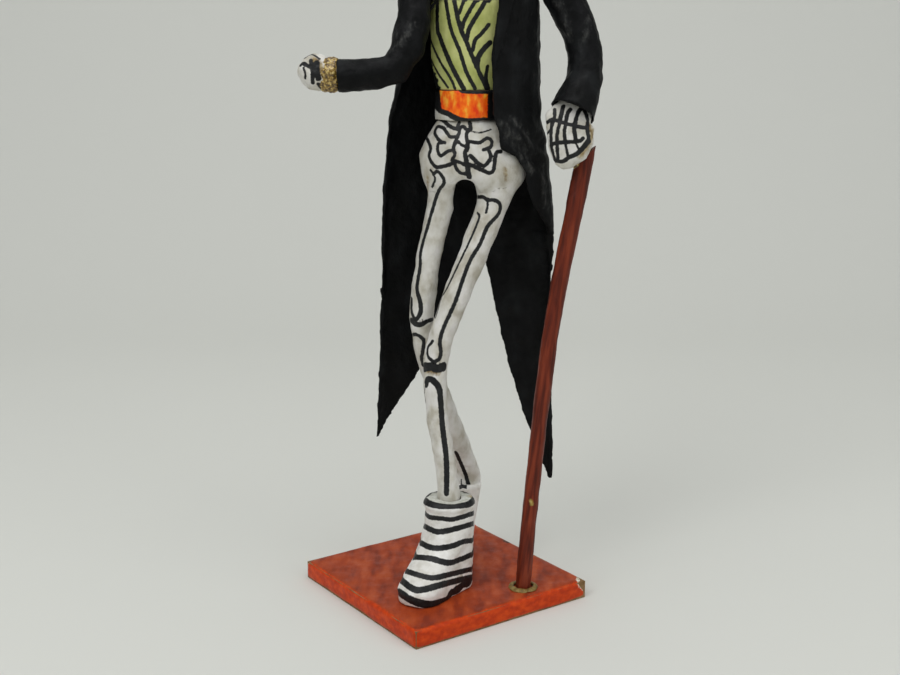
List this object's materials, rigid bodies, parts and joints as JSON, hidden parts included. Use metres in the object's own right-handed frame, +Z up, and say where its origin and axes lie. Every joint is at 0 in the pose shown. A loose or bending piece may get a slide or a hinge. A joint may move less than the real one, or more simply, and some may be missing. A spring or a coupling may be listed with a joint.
{
  "type": "papier-mache skeleton figure",
  "caption": "Standing papier-mache skeleton gentleman in a tailcoat and top hat, leaning on a cane, on a square painted base.",
  "frame": {"origin": "centre of the base's underside, on the surface that the figure stands on", "axes": "+Z up; the figure faces -Y, turned a little to its right; its left side, with the cane, is towards +X"},
  "size_m": [0.1077, 0.1058, 0.3035],
  "materials": {
    "board": "raw fibreboard",
    "base_paint": "satin brick-red paint over paper",
    "cane_stain": "dark red-brown stain, satin",
    "glue": "dried amber glue",
    "boot_paint": "white paint with black stripes",
    "bone_paint": "white satin paint with black brush lines",
    "iron_wire": "annealed iron wire",
    "newsprint": "wound newsprint and paste",
    "sash_paint": "mottled orange paint",
    "vest_paint": "olive-green paint with black stripes",
    "shirt_paint": "white paint",
    "coat_paint": "black paint, satin where brushed thick"
  },
  "bodies": {
    "root": {"base_board": "board", "base_cover": "base_paint", "cane": "cane_stain", "cane_foot_glue": "glue", "left_boot": "boot_paint", "right_boot": "boot_paint", "left_leg_wire": "iron_wire", "right_leg_wire": "iron_wire", "left_shin": "bone_paint", "right_shin": "bone_paint", "left_thigh": "bone_paint", "right_thigh": "bone_paint", "pelvis": "bone_paint", "spine_wire": "iron_wire", "torso_core": "newsprint", "sash": "sash_paint", "vest": "vest_paint", "shirt_front": "shirt_paint", "neck": "bone_paint", "shirt_collar": "shirt_paint", "bow_tie": "sash_paint", "arms_wire": "iron_wire", "left_sleeve": "coat_paint", "right_sleeve": "coat_paint", "left_hand": "bone_paint", "right_hand": "bone_paint", "coat_back": "coat_paint", "coat_left_front": "coat_paint", "coat_right_front": "coat_paint", "coat_left_tail": "coat_paint", "coat_right_tail": "coat_paint", "left_lapel": "coat_paint", "right_lapel": "coat_paint", "coat_collar": "coat_paint", "skull": "bone_paint", "jaw": "bone_paint", "hat_brim": "coat_paint", "hat_crown": "coat_paint", "hat_band": "sash_paint"}
  },
  "joints": []
}
